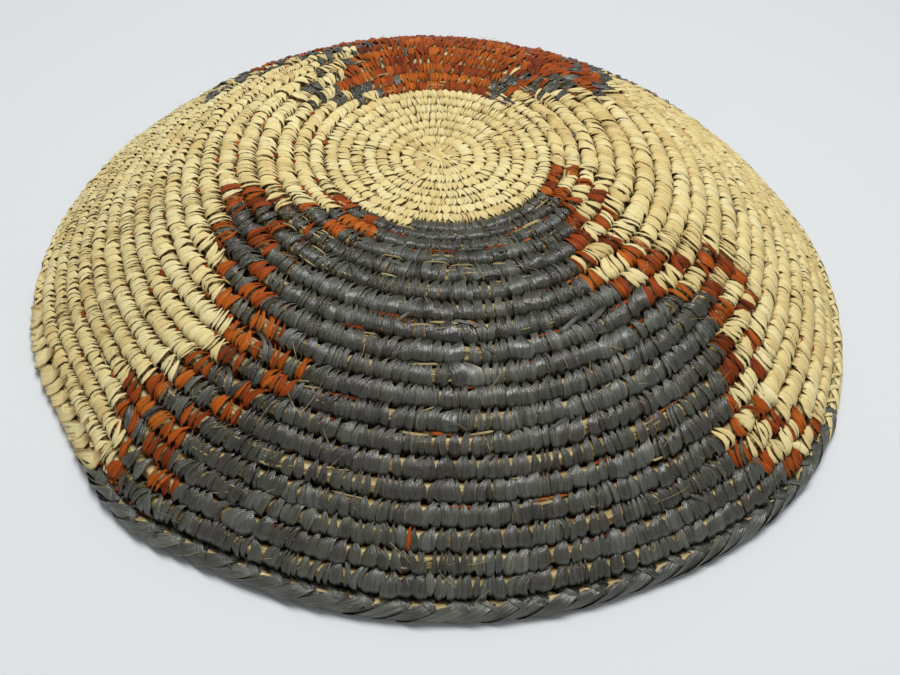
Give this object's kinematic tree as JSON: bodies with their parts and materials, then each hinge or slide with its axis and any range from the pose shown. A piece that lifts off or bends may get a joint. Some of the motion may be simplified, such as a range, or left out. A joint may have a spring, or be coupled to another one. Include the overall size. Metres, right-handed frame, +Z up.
{
  "type": "coiled basket bowl",
  "caption": "Shallow round bowl of coiled grass rows sewn with palm strips in stepped dark, rust and natural fields, standing base up on its bound rim.",
  "frame": {"origin": "middle of the rim, on the surface that the rim stands on", "axes": "+Z up through the base, which is uppermost; -Y towards the middle of the dark field; +X to the right of it"},
  "size_m": [0.4214, 0.4214, 0.0818],
  "materials": {
    "natural_palm": "dry undyed palm strip, faint sheen",
    "dark_palm": "dyed charcoal palm strip, slight sheen",
    "rust_palm": "dyed rust palm strip, slight sheen",
    "grass_bundle": "dull dry grass stems"
  },
  "bodies": {
    "root": {"start_knot": "natural_palm", "base_coil": "grass_bundle", "wall_coil": "grass_bundle", "rim_coil": "grass_bundle", "natural_base_stitches": "natural_palm", "dark_front_upper": "dark_palm", "dark_front_lower": "dark_palm", "rust_back_upper": "rust_palm", "rust_back_lower": "rust_palm", "natural_left_upper": "natural_palm", "natural_left_lower": "natural_palm", "natural_right_upper": "natural_palm", "natural_right_lower": "natural_palm", "rim_braid_dark_front": "dark_palm", "rim_braid_natural_left": "natural_palm", "rim_braid_natural_right": "natural_palm", "rim_braid_rust_back": "rust_palm"}
  },
  "joints": []
}
